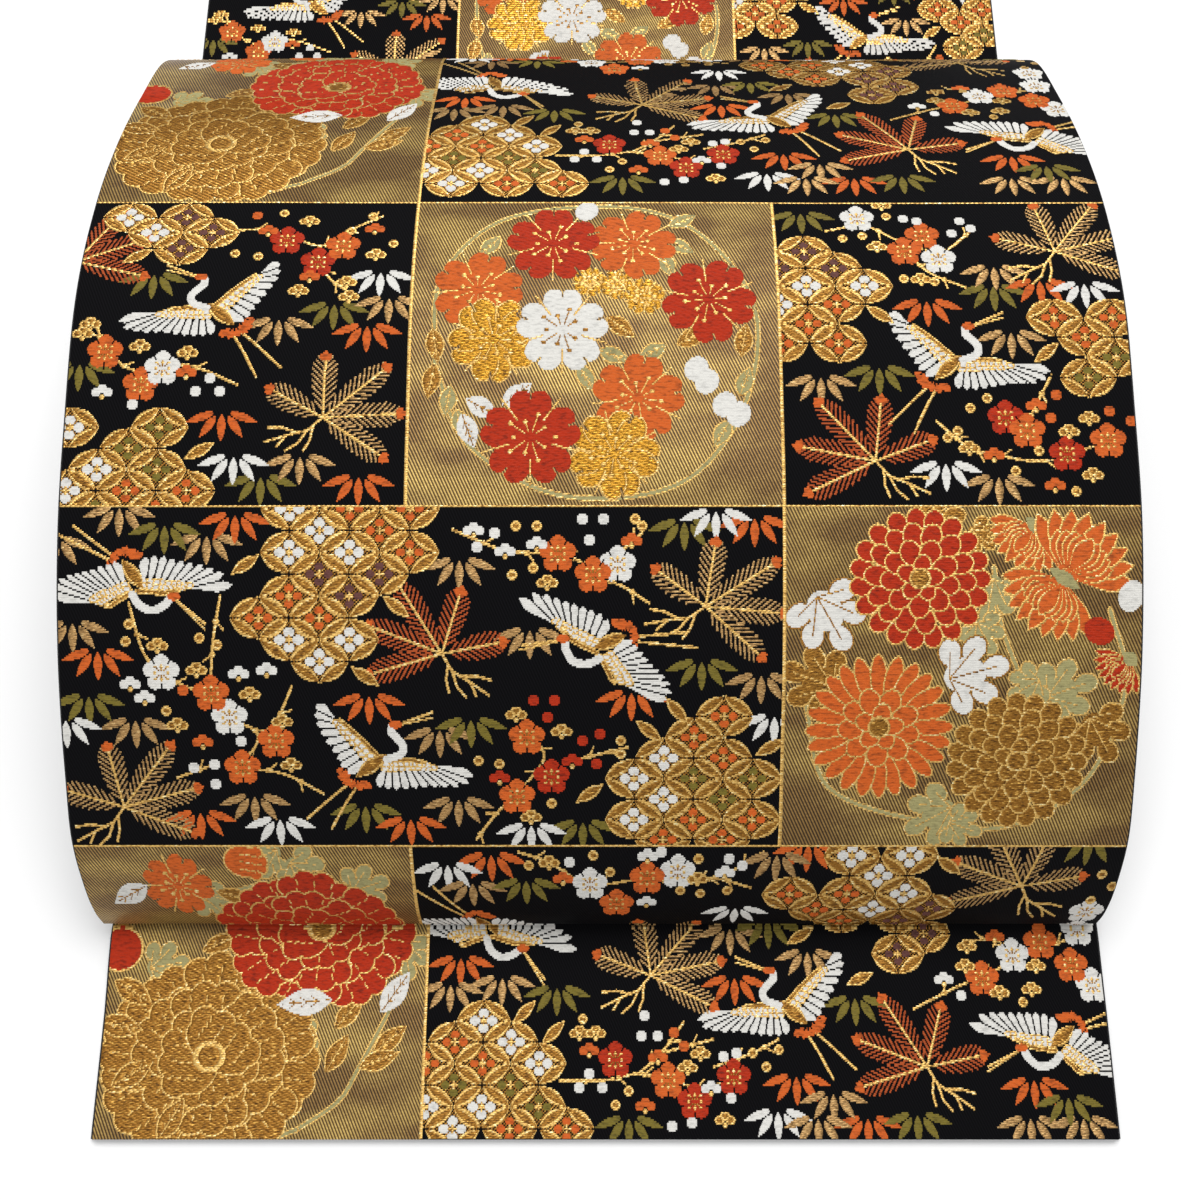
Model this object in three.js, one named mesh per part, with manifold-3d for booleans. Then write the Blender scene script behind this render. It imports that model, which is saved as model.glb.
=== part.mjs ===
// A fukuro obi: a formal sash of gold and black brocade, 31 cm wide, with a plain black back.
// It lies on a table. Its tail end is in front, then the cloth stands up in one broad hollow arch,
// the drum, is tucked under at both feet of it, and runs on flat to the rest of its length, which
// is folded to and fro in a stack.
//
// Millimetres. X runs across the sash, Y along it from the tail end, and Z up from the table.
import * as THREE from 'three';
import { mergeVertices } from 'three/addons/utils/BufferGeometryUtils.js';
import Module from 'manifold-3d';

// The cloth. The back is wider than the face, and shows as a dark line along both long edges.
const cloth = { backWidth: 310, faceWidth: 308, face: 1.1, seam: 0.3, back: 1.0 };
const thickness = cloth.face + cloth.seam + cloth.back;
// The sewn line, half way through the seam, is what every path below follows.
const sewnHeight = cloth.back + cloth.seam / 2;

// The fold at each foot of the drum: the radius of the sewn line where the face is inside the
// fold, and where it is outside.
const turn = { faceInside: 2.1, faceOutside: 2.2, steps: 8 };
const upperLayer = sewnHeight + 2 * turn.faceInside;

const tail = { length: 66 };

// The sewn line over the drum, from its front lip to its rear foot.
const drumStations = [
  { y: 63.9, z: 7.6 },
  { y: 66.8, z: 15.7 },
  { y: 72.9, z: 25.3 },
  { y: 85.3, z: 38.3 },
  { y: 101.3, z: 47.5 },
  { y: 132.9, z: 63.0 },
  { y: 168.4, z: 74.3 },
  { y: 199.8, z: 79.2 },
  { y: 236.6, z: 82.4 },
  { y: 272.4, z: 77.4 },
  { y: 300.6, z: 68.3 },
  { y: 329.5, z: 54.7 },
  { y: 356.2, z: 39.0 },
  { y: 368.6, z: 23.0 },
  { y: 373.2, z: upperLayer + turn.faceOutside },
];
const drum = { tuck: 34, steps: 56 };

// The flat stretch behind the drum, and the rest of the sash in its stack.
const strip = { end: 452 };
const stack = { layers: 13, run: 285, gap: 0.4, rim: 6 };
// How far each fold of the stack stands in from its neighbours, from the bottom up.
const nearFolds = [0.0, 2.5, 0.8, 3.4, 1.6, 2.9, 0.9];
const farFolds = [1.2, 0.0, 2.6, 0.7, 3.1, 1.4, 2.2];

const total = strip.end + cloth.seam + stack.run;

// ---- paths along the sewn line, as lists of (y, z) points ----

const point = (y, z) => new THREE.Vector2(y, z);

function arc(centreY, centreZ, radius, startDegrees, sweepDegrees) {
  const points = [];
  for (let i = 0; i <= turn.steps; i += 1) {
    const angle = THREE.MathUtils.degToRad(startDegrees + (sweepDegrees * i) / turn.steps);
    points.push(point(centreY + radius * Math.cos(angle), centreZ + radius * Math.sin(angle)));
  }
  return points;
}

function smooth(stations, steps) {
  const knots = stations.map(({ y, z }) => new THREE.Vector3(y, z, 0));
  const curve = new THREE.CatmullRomCurve3(knots, false, 'centripetal');
  return curve.getSpacedPoints(steps).map(({ x, y }) => point(x, y));
}

// One path from pieces that meet end to end, with half a seam left off each end that joins on.
function joined(pieces, trimStart, trimEnd) {
  const points = [];
  for (const piece of pieces) {
    for (const next of piece) {
      const last = points[points.length - 1];
      if (!last || last.distanceTo(next) > 1e-3) points.push(next.clone());
    }
  }
  const shorten = (end, beside) => {
    const way = beside.clone().sub(end).normalize();
    end.addScaledVector(way, cloth.seam / 2);
  };
  if (trimStart) shorten(points[0], points[1]);
  if (trimEnd) shorten(points[points.length - 1], points[points.length - 2]);
  return points;
}

// The path moved sideways: positive distances are on the face's side.
function moved(points, distance) {
  return points.map((here, i) => {
    const before = points[Math.max(i - 1, 0)];
    const after = points[Math.min(i + 1, points.length - 1)];
    const way = after.clone().sub(before).normalize();
    return point(here.x - way.y * distance, here.y + way.x * distance);
  });
}

// ---- solids ----

const acrossTheSash = new THREE.Matrix4().makeBasis(
  new THREE.Vector3(0, 1, 0),
  new THREE.Vector3(0, 0, 1),
  new THREE.Vector3(1, 0, 0),
);

// A closed outline in the (y, z) plane, extended across the sash and centred on it.
function acrossX(outline, width) {
  const geometry = new THREE.ExtrudeGeometry(new THREE.Shape(outline), {
    depth: width,
    bevelEnabled: false,
  });
  geometry.translate(0, 0, -width / 2);
  return geometry.applyMatrix4(acrossTheSash);
}

function wall(path, near, far, width) {
  return acrossX([...moved(path, near), ...moved(path, far).reverse()], width);
}

const brocade = () => new THREE.MeshStandardMaterial({ color: 0x8a6f42, roughness: 0.55, metalness: 0.2 });
const satin = () => new THREE.MeshStandardMaterial({ color: 0x17171b, roughness: 0.5, metalness: 0 });

function mesh(name, geometry, material) {
  const piece = new THREE.Mesh(geometry, material);
  piece.name = name;
  return piece;
}

// The two cloths of one stretch, the face over the back.
function stretch(name, path) {
  const halfSeam = cloth.seam / 2;
  const face = wall(path, halfSeam, halfSeam + cloth.face, cloth.faceWidth);
  const back = wall(path, -halfSeam - cloth.back, -halfSeam, cloth.backWidth);
  return [mesh(`${name}_face`, face, brocade()), mesh(`${name}_back`, back, satin())];
}

function tailPath() {
  const under = arc(tail.length, sewnHeight + turn.faceInside, turn.faceInside, -90, 180);
  return joined([[point(0, sewnHeight), point(tail.length, sewnHeight)], under], false, true);
}

function drumPath() {
  const lip = drumStations[0];
  const foot = drumStations[drumStations.length - 1];
  const lipTurn = arc(
    lip.y + turn.faceOutside, upperLayer + turn.faceOutside, turn.faceOutside, 270, -90,
  );
  const footTurn = arc(foot.y - turn.faceOutside, foot.z, turn.faceOutside, 0, -90);
  const tucked = point(foot.y - turn.faceOutside - drum.tuck, upperLayer);
  return joined([lipTurn, smooth(drumStations, drum.steps), footTurn, [tucked]], true, true);
}

function stripPath() {
  const foot = drumStations[drumStations.length - 1];
  const start = foot.y - turn.faceOutside - drum.tuck;
  const under = arc(start, sewnHeight + turn.faceInside, turn.faceInside, 90, 180);
  return joined([under, [point(strip.end, sewnHeight)]], true, false);
}

// ---- the folded rest of the sash ----

const wasm = await Module();
wasm.setup();

function solid(geometry) {
  const bare = geometry.clone();
  bare.deleteAttribute('normal');
  bare.deleteAttribute('uv');
  const merged = mergeVertices(bare);
  return new wasm.Manifold(new wasm.Mesh({
    numProp: 3,
    vertProperties: new Float32Array(merged.attributes.position.array),
    triVerts: new Uint32Array(merged.index.array),
  }));
}

function geometryOf(manifold) {
  const { vertProperties, triVerts } = manifold.getMesh();
  const geometry = new THREE.BufferGeometry();
  geometry.setAttribute('position', new THREE.BufferAttribute(vertProperties, 3));
  geometry.setIndex(new THREE.BufferAttribute(triVerts, 1));
  geometry.computeVertexNormals();
  return geometry;
}

// Every layer lies on the last with a slit between them at the edges, and one core inside the
// rim joins them. Layers 1 and 2 meet in a fold at the far side, 2 and 3 at the near side.
function foldedLength() {
  const nearEdge = strip.end + cloth.seam;
  const farEdge = nearEdge + stack.run;
  const pitch = thickness + stack.gap;
  const radius = thickness + stack.gap / 2;
  const near = (fold) => nearEdge + nearFolds[fold] + radius;
  const far = (fold) => farEdge - farFolds[fold] - radius;
  let folded = null;
  const add = (geometry) => {
    folded = folded ? folded.add(solid(geometry)) : solid(geometry);
  };
  for (let layer = 0; layer < stack.layers; layer += 1) {
    const bottom = layer * pitch;
    const nearFold = Math.ceil(layer / 2);
    const start = layer === 0 ? nearEdge : near(nearFold);
    const end = layer === stack.layers - 1 ? farEdge - farFolds[6] : far(Math.floor(layer / 2));
    add(acrossX([
      point(start, bottom),
      point(end, bottom),
      point(end, bottom + thickness),
      point(start, bottom + thickness),
    ], cloth.backWidth));
    if (layer === stack.layers - 1) continue;
    const middle = bottom + thickness + stack.gap / 2;
    const atFarSide = layer % 2 === 0;
    const foldY = atFarSide ? far(layer / 2) : near(nearFold);
    add(acrossX(arc(foldY, middle, radius, atFarSide ? -90 : 90, 180), cloth.backWidth));
  }
  const height = stack.layers * pitch - stack.gap;
  const coreWidth = cloth.backWidth - 2 * stack.rim;
  add(acrossX([
    point(nearEdge + stack.rim, 0.5),
    point(farEdge - stack.rim, 0.5),
    point(farEdge - stack.rim, height - 0.5),
    point(nearEdge + stack.rim, height - 0.5),
  ], coreWidth));
  return mesh('folded_length', geometryOf(folded), brocade());
}

const obi = new THREE.Group();
obi.add(
  ...stretch('tail', tailPath()),
  ...stretch('drum', drumPath()),
  ...stretch('strip', stripPath()),
  foldedLength(),
);
// The origin is on the table, under the middle of the whole sash as it lies.
obi.position.y = -total / 2;

export default obi;
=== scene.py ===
import math

import bpy
import numpy as np
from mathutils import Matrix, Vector


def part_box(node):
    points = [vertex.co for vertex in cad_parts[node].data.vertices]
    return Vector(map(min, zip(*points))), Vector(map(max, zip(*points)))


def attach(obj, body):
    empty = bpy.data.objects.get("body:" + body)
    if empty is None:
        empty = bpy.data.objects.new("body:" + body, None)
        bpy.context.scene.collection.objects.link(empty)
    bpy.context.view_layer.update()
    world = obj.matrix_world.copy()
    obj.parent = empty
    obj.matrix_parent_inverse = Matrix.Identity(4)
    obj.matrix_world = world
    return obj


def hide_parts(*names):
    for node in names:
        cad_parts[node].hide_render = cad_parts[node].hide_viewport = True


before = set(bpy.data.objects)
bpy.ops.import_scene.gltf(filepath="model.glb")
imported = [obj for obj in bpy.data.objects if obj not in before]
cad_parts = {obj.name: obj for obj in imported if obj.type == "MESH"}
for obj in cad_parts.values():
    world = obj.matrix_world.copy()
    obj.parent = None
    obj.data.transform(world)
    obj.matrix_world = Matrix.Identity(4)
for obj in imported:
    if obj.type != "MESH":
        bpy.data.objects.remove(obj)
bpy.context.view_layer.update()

# The obi lies face up on a table with its tail towards the viewer, drawn up behind into an empty
# drum, the rest folded in a stack behind that. Sizes are in millimetres until a mesh is written:
# x is across, y along from the tail's end and z up, all as in part.mjs.

MM = 0.001
TAIL_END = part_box("tail_face")[0][1] / MM
STACK_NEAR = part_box("folded_length")[0][1] / MM - TAIL_END
STACK_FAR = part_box("folded_length")[1][1] / MM - TAIL_END


# ---- camera ----

def place_camera():
    """Above the tail's end, looking down at the drum."""
    data = bpy.data.cameras.new("camera")
    data.sensor_width = 36
    data.lens = 39
    camera = bpy.data.objects.new("camera", data)
    camera.location = (0, (TAIL_END + 39.3) * MM, 422.8 * MM)
    camera.rotation_euler = (math.radians(17.2), 0, 0)
    bpy.context.scene.collection.objects.link(camera)
    bpy.context.scene.camera = camera


place_camera()


# ---- the weaver's chart ----
# The pattern is three rows, A, B and C, each 100 mm of cloth, read from the top. u runs across the
# cloth from its middle and v down each row, both in millimetres.
WIDTH = 308.0
ROW = 100.0
PITCH = 0.5  # from one weft to the next
STEP = 0.25  # from one warp to the next
LEFT_COLUMN, RIGHT_COLUMN = -55.5, 52.5

GROUND, GOLD, BRIGHT, FOIL, ORANGE, RED, RUST, WHITE, PALE, OLIVE, MAUVE, PALE_GOLD = range(12)


class Chart:
    """One row of the pattern: which thread lies on top at each crossing."""

    def __init__(self):
        self.u = np.arange(-WIDTH / 2 + STEP / 2, WIDTH / 2, STEP)
        self.v = np.arange(PITCH / 2, ROW, PITCH)
        self.threads = np.zeros((len(self.v), len(self.u)), np.uint8)
        self.sides = (-WIDTH / 2, WIDTH / 2)

    def open_panel(self, left, right):
        """Clears the row's gold panel, and keeps what is drawn from here on inside it."""
        self.sides = (left, right)
        self.threads[:, (self.u > left) & (self.u < right)] = GROUND

    def paint(self, thread, low, high, covers):
        """Lays thread wherever covers(u, v) is true between the corners low and high."""
        left, right = np.searchsorted(self.u, np.clip((low[0], high[0]), *self.sides))
        top, bottom = np.searchsorted(self.v, (low[1], high[1]))
        if left < right and top < bottom:
            u, v = np.meshgrid(self.u[left:right], self.v[top:bottom])
            self.threads[top:bottom, left:right][covers(u, v)] = thread

    def stroke(self, thread, points, width):
        """A line of even width through the points, with round ends."""
        for (au, av), (bu, bv) in zip(points, points[1:]):
            du, dv = bu - au, bv - av
            length2 = max(du * du + dv * dv, 1e-9)

            def near(u, v):
                t = np.clip(((u - au) * du + (v - av) * dv) / length2, 0, 1)
                return np.hypot(u - au - t * du, v - av - t * dv) <= width / 2

            low = (min(au, bu) - width, min(av, bv) - width)
            high = (max(au, bu) + width, max(av, bv) + width)
            self.paint(thread, low, high, near)

    def oval(self, thread, centre, radii, turn=0.0):
        """A filled ellipse, its first radius turned by an angle in degrees."""
        cos, sin = math.cos(math.radians(turn)), math.sin(math.radians(turn))

        def inside(u, v):
            x, y = u - centre[0], v - centre[1]
            return ((x * cos + y * sin) / radii[0]) ** 2 + ((y * cos - x * sin) / radii[1]) ** 2 <= 1

        reach = max(radii)
        low = (centre[0] - reach, centre[1] - reach)
        high = (centre[0] + reach, centre[1] + reach)
        self.paint(thread, low, high, inside)

    def blade(self, thread, start, end, width, fullest=0.5):
        """A leaf pointed at both ends, widest at the given share of its length."""
        du, dv = end[0] - start[0], end[1] - start[1]
        length = math.hypot(du, dv)
        power = math.log(0.5) / math.log(fullest)

        def inside(u, v):
            along = ((u - start[0]) * du + (v - start[1]) * dv) / length**2
            beside = np.abs((v - start[1]) * du - (u - start[0]) * dv) / length
            t = np.clip(along, 1e-6, 1)
            return (along > 0) & (along < 1) & (beside < width / 2 * np.sin(np.pi * t**power))

        low = (min(start[0], end[0]) - width, min(start[1], end[1]) - width)
        high = (max(start[0], end[0]) + width, max(start[1], end[1]) + width)
        self.paint(thread, low, high, inside)


def placed(centre, turn=0.0, size=1.0, mirror=False):
    """Takes a motif's own coordinates, x right and y down, to the chart's."""
    cos, sin = math.cos(math.radians(turn)), math.sin(math.radians(turn))

    def at(x, y):
        x = -x if mirror else x
        return (centre[0] + size * (x * cos - y * sin), centre[1] + size * (x * sin + y * cos))

    return at


def polar(radius, degrees):
    return radius * math.cos(math.radians(degrees)), radius * math.sin(math.radians(degrees))


def ray(chart, thread, centre, reach, degrees, width):
    """A stroke straight out from a centre, between two distances from it. Gives its outer end."""
    near, far = (polar(distance, degrees) for distance in reach)
    start, end = (centre[0] + near[0], centre[1] + near[1]), (centre[0] + far[0], centre[1] + far[1])
    chart.stroke(thread, [start, end], width)
    return end


def curve(points, steps=8):
    """A smooth line through the points."""
    points = [np.array(p, float) for p in points]
    ends = [2 * points[0] - points[1], *points, 2 * points[-1] - points[-2]]
    line = []
    for a, b, c, d in zip(ends, ends[1:], ends[2:], ends[3:]):
        for t in np.arange(steps) / steps:
            line.append(0.5 * (2 * b + (c - a) * t + (2 * a - 5 * b + 4 * c - d) * t * t
                               + (3 * b - a - 3 * c + d) * t**3))
    return [tuple(p) for p in [*line, points[-1]]]


# ---- motifs on the black ground ----

BAMBOO = [  # start and tip of each leaflet about the motif's middle
    ((-2.2, -2.6), (-10.6, 0.6)), ((-1.7, -1.6), (-6.3, 5.2)), ((0, -2.0), (0, 6.6)),
    ((1.7, -1.6), (6.3, 5.2)), ((2.2, -2.6), (10.6, 0.6)),
]


def bamboo(chart, u, v, thread):
    """Five leaflets hanging from one point, kept apart by slits of ground."""
    for (x0, y0), (x1, y1) in BAMBOO:
        chart.blade(thread, (u + x0, v + y0), (u + x1, v + y1), 2.4, 0.42)


def plum(chart, u, v, thread, radius=5.2):
    """Five round petals, notched apart, with gold stamens."""
    for k in range(5):
        x, y = polar(0.58 * radius, 72 * k - 90)
        chart.oval(thread, (u + x, v + y), (0.45 * radius, 0.45 * radius))
    chart.oval(thread, (u, v), (0.4 * radius, 0.4 * radius))
    for k in range(5):
        ray(chart, GROUND, (u, v), (0.6 * radius, radius), 72 * k - 54, 0.4)
    for k in range(8):
        reach = (0.36 + 0.12 * (k % 2)) * radius
        tip = ray(chart, GOLD, (u, v), (0.12 * radius, reach), 45 * k - 90, 0.35)
        chart.oval(BRIGHT, tip, (0.45, 0.4))


def sprig(chart, u, v, thread):
    """A small half-open flower of three lobes over a gold cup."""
    for x, y in ((-1.7, 0.3), (1.7, 0.3), (0, -0.9)):
        if thread == GOLD:
            chart.oval(BRIGHT, (u + x, v + y), (1.45, 1.35))
            chart.oval(GOLD, (u + x, v + y), (0.8, 0.7))
        else:
            chart.oval(thread, (u + x, v + y), (1.4, 1.3))
    chart.oval(BRIGHT, (u, v + 1.7), (0.8, 0.7))


def bud(chart, u, v, thread):
    """A round bud, in gold with a corded rim."""
    if thread == GOLD:
        chart.oval(BRIGHT, (u, v), (1.5, 1.4))
        chart.oval(GOLD, (u, v), (0.8, 0.7))
    else:
        chart.oval(thread, (u, v), (1.6, 1.5))


def branch(chart, *points):
    """A thin knotty gold twig with short side shoots."""
    line = curve(points, 5)
    chart.stroke(BRIGHT, line, 0.8)
    for k in range(3, len(line) - 1, 4):
        side = 1 if (k // 4) % 2 else -1
        (au, av), (bu, bv) = line[k], line[k + 1]
        length = max(math.hypot(bu - au, bv - av), 1e-6)
        du, dv = (bu - au) / length, (bv - av) / length
        tip = (au + 2.0 * du - 2.4 * side * dv, av + 2.0 * dv + 2.4 * side * du)
        chart.stroke(BRIGHT, [(au, av), tip], 0.6)
        chart.oval(BRIGHT, (au, av), (0.9, 0.75))


FROND_TWIG = [
    [(0, 0), (-5, 4.5), (-11, 6.0), (-19, 8.5)], [(-8, 5.4), (-13, 3.6), (-18, 3.4)],
    [(-5, 4.5), (-8, 9), (-12, 11.5)], [(-3, 3), (-4, 8), (-6, 11.5)], [(-12, 6.4), (-15, 10)],
]
FROND_LEAVES = [(-89, 22.0), (-40, 28.0), (-3, 26.5), (34, 25.5), (-151, 21.0)]  # angle, length


def frond(chart, u, v, thread, turn=0.0, mirror=False):
    """A leaf of five feathered fronds on a forked twig, each tipped with three rust scales."""
    at = placed((u, v), turn, 0.86, mirror)
    for line in FROND_TWIG:
        chart.stroke(BRIGHT, [at(x, y) for x, y in line], 0.75)
    for degrees, length in FROND_LEAVES:
        along = 2.8
        while along < length - 2.2:
            share = along / length
            reach = 6.0 * min(1.0, 0.5 + 1.5 * share) * min(1.0, 2.0 * (1 - share) + 0.3)
            root = polar(along, degrees)
            for side in (-44, 44):
                tip = polar(reach, degrees + side)
                chart.stroke(thread, [at(*root), at(root[0] + tip[0], root[1] + tip[1])], 0.58)
            along += 2.05
        rib = polar(length - 2.0, degrees)
        chart.stroke(BRIGHT, [at(0, 0), at(*rib)], 0.75)
        for lean, reach in ((-34, 3.2), (0, 4.0), (34, 3.2)):
            x, y = polar(reach, degrees + lean)
            chart.blade(ORANGE, at(rib[0] + 0.1 * x, rib[1] + 0.1 * y), at(rib[0] + x, rib[1] + y), 1.9)


HALF_U, HALF_V = 8.6, 6.25  # half of one ring's diamond


def shippo(chart, u, v, cells):
    """Interlocked rings on a diamond grid: (column, row) cells by the colour of their flowers."""
    corners = [(0, -HALF_V), (HALF_U, 0), (0, HALF_V), (-HALF_U, 0)]
    middles = [(u + column * HALF_U, v + row * HALF_V, flower)
               for flower, found in cells.items() for column, row in found]
    for cu, cv, _ in middles:
        def hatched(uu, vv):
            inside = np.abs(uu - cu) / HALF_U + np.abs(vv - cv) / HALF_V < 0.86
            return inside & ((uu + vv) % 1.1 < 0.6)

        chart.paint(GOLD, (cu - HALF_U, cv - HALF_V), (cu + HALF_U, cv + HALF_V), hatched)
    for cu, cv, _ in middles:
        for (au, av), (bu, bv) in zip(corners, corners[1:] + corners[:1]):
            start, end = (cu + 0.97 * au, cv + 0.97 * av), (cu + 0.97 * bu, cv + 0.97 * bv)
            chart.blade(BRIGHT, start, end, 3.8)
            chart.blade(GOLD, start, end, 2.0)
    for cu, cv, flower in middles:
        size = (1.55, 1.4) if flower == WHITE else (1.3, 1.15)
        for du, dv in ((-2.6, 0), (2.6, 0), (0, -2.2), (0, 2.2)):
            chart.oval(flower, (cu + du, cv + dv), size)
        chart.stroke(BRIGHT, [(cu - 1.1, cv), (cu + 1.1, cv)], 0.5)
        chart.stroke(BRIGHT, [(cu, cv - 1), (cu, cv + 1)], 0.6)


def almond(chart, u, v, degrees):
    """A loose gold leaf with a corded edge."""
    for thread, half, width in ((BRIGHT, 5.0, 3.6), (GOLD, 4.1, 2.2)):
        x, y = polar(half, degrees)
        chart.blade(thread, (u - x, v - y), (u + x, v + y), width)


# A crane about its shoulder: each wing's leading edge and the tips of its feathers from the
# outermost in, then the body, the tail's feathers, the legs, the neck and the beak.
RISING = {
    "wings": [
        ([(-0.5, -0.5), (-6.5, -7), (-12, -12), (-17, -16)],
         [(-18, -16), (-18.4, -13.4), (-18, -10.8), (-16.8, -8), (-15.4, -5.2), (-13.8, -2.6), (-12.4, -0.2),
          (-11.4, 2), (-9.6, 4)]),
        ([(0.5, 0.5), (7, 0.2), (13, 1.2), (24, 4.6)],
         [(26, 5), (24.6, 7.2), (21.6, 8), (18.4, 8.2), (15.4, 8), (12.6, 8.2), (9.8, 8.6), (7, 8.9),
          (4.2, 9), (1.6, 8.8), (-0.8, 8.2)]),
    ],
    "body": [(-7.5, 5.5), (1.5, -1.5)],
    "tail": [(-13.2, 3), (-12.8, 5.4), (-11.4, 7.4), (-9, 8.8), (-6, 9.6), (-3, 9)],
    "legs": [[(-9, 7), (-14, 11), (-22, 18)], [(-7, 8), (-10.4, 13), (-15, 21)]],
    "neck": [(1.5, 0), (5.6, -1.4), (6.4, -3.8), (4.8, -6.2), (3.2, -8), (3.4, -9.8)],
    "beak": [(4.2, -10), (15, -14)],
}
GLIDING = {
    "wings": [
        ([(-1, 0.4), (-5, 2.8), (-9, 4.4), (-21, 2.2)],
         [(-23.4, 1), (-23.2, -1.4), (-21.4, -3.2), (-19.2, -4.2), (-17, -4.8), (-14.8, -5.2), (-12.6, -5.8),
          (-10.4, -6.6), (-8.2, -7.4), (-6, -8)]),
        ([(0.5, 0), (8, 0.6), (13, -0.4), (25, -1.2)],
         [(27, -1.6), (24.6, -4.8), (21.6, -6.2), (18.6, -7), (15.8, -7.6), (13.2, -8.2), (10.6, -8.9),
          (8, -9.5), (5.4, -9.8), (2.8, -9.4)]),
    ],
    "body": [(-4, -9), (2.2, -0.4)],
    "tail": [(-8.4, -7.6), (-7.4, -10.2), (-5.2, -12.2), (-2.6, -12.8), (0, -12), (2.2, -10.6)],
    "legs": [[(-6, -9.5), (-12, -14), (-18, -18.6)], [(-7, -8.5), (-14, -12), (-23, -16.4)]],
    "neck": [(-1, 1), (1, 4), (4.6, 5.6), (8, 4.2), (10, 2)],
    "beak": [(10.6, 2), (19.6, 9.4)],
}


def wing(chart, at, edge, tips):
    """White feathers from under a mottled shoulder, set apart by slits, behind a gold leading edge."""
    front = curve([at(*point) for point in edge], 10)
    last = len(front) - 1
    quills = []
    for k, tip in enumerate(tips):
        share = 0.62 - 0.56 * k / (len(tips) - 1)
        quills.append((np.array(front[round(share * last)]), np.array(at(*tip))))
    for root, tip in reversed(quills):
        chart.blade(WHITE, tuple(root + 0.08 * (tip - root)), tuple(root + 1.04 * (tip - root)), 3.1, 0.72)
    for (root, tip), (next_root, next_tip) in zip(quills, quills[1:]):
        root, tip = (root + next_root) / 2, (tip + next_tip) / 2
        chart.stroke(GROUND, [tuple(root + 0.42 * (tip - root)), tuple(root + 1.1 * (tip - root))], 0.45)
    for share in (0.3, 0.16):
        for root, tip in quills[1:]:
            place = tuple(root + share * (tip - root))
            chart.oval(BRIGHT, place, (1.35, 1.0))
            chart.oval(WHITE, place, (0.85, 0.6))
    chart.stroke(BRIGHT, front[: round(0.66 * last)], 1.5)
    chart.stroke(GOLD, front[: round(0.6 * last)], 0.6)


def crane(chart, u, v, kind, turn=0.0, mirror=False):
    """A flying crane seen from the side, one of the two kinds above."""
    at = placed((u, v), turn, 1.0, mirror)
    for line in kind["legs"]:
        chart.stroke(BRIGHT, curve([at(*point) for point in line], 5), 0.8)
    rump, breast = kind["body"]
    for x, y in kind["tail"]:
        near = (rump[0] + 0.2 * (x - rump[0]), rump[1] + 0.2 * (y - rump[1]))
        chart.blade(ORANGE, at(*near), at(x, y), 2.3, 0.62)
    for edge, tips in kind["wings"]:
        wing(chart, at, edge, tips)
    chart.blade(BRIGHT, at(*rump), at(*breast), 4.2)
    chart.blade(GOLD, at(*rump), at(*breast), 2.8)
    chart.stroke(WHITE, curve([at(*point) for point in kind["neck"]], 6), 2.3)
    (hx, hy), (bx, by) = kind["beak"]
    chart.stroke(BRIGHT, [at(hx, hy), at(bx, by)], 0.8)
    chart.stroke(BRIGHT, [at(hx, hy), at(bx, by + 1.6)], 0.6)
    chart.oval(ORANGE, at(hx + 0.2, hy - 0.4), (1.9, 1.2))


# ---- motifs on the gold ground ----

def cherry(chart, u, v, thread, radius=13.0, turn=0.0):
    """Five notched petals with stitched edges round a starry gold heart."""
    dots = GOLD if thread == WHITE else BRIGHT
    for k in range(5):
        angle = 72 * k - 90 + turn
        for lean in (-13, 13):
            x, y = polar(0.64 * radius, angle + lean)
            if thread == FOIL:
                chart.oval(BRIGHT, (u + x, v + y), (0.4 * radius, 0.31 * radius), angle + lean)
            chart.oval(thread, (u + x, v + y), (0.36 * radius, 0.27 * radius), angle + lean)
    chart.oval(thread, (u, v), (0.5 * radius, 0.5 * radius))
    for k in range(5):
        ray(chart, BRIGHT, (u, v), (0.45 * radius, radius), 72 * k - 54 + turn, 0.55)
        ray(chart, GROUND, (u, v), (0.8 * radius, 1.02 * radius), 72 * k - 90 + turn, 0.7)
    for k in range(10):
        reach = (0.34 if k % 2 else 0.5) * radius
        tip = ray(chart, dots, (u, v), (0.14 * radius, reach), 36 * k + turn, 0.4)
        chart.oval(dots, tip, (0.75, 0.6))


def petal(chart, u, v, thread, radii, turn):
    """A broad petal with a scalloped, corded rim and stitched veins; turn is the way it opens."""
    at = placed((u, v), turn)
    lobe = 0.36 * radii[1]
    for cord, extra in ((BRIGHT, 0.55), (thread, 0.0)):
        chart.oval(cord, (u, v), (radii[0] + extra, radii[1] + extra), turn)
        for share in (-0.75, -0.27, 0.27, 0.75):
            middle = at(0.95 * radii[0] * math.sqrt(1 - share * share), share * radii[1])
            chart.oval(cord, middle, (lobe + extra, lobe + extra))
    shares = (-0.6, -0.2, 0.2, 0.6) if thread == GOLD else (-0.5, 0, 0.5)
    for share in shares:
        for reach in (-0.2, 0.12, 0.44, 0.76):
            start = at(reach * radii[0], share * radii[1])
            end = at((reach + 0.18) * radii[0], share * 1.1 * radii[1])
            chart.stroke(BRIGHT, [start, end], 0.5)


PEONY_ROUNDS = [  # reach, petals, petal's length and breadth as shares of the flower, first angle
    (1.0, 8, 0.17, 0.27, 10), (0.56, 6, 0.16, 0.26, 32), (0.2, 3, 0.13, 0.24, 65),
]


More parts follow.
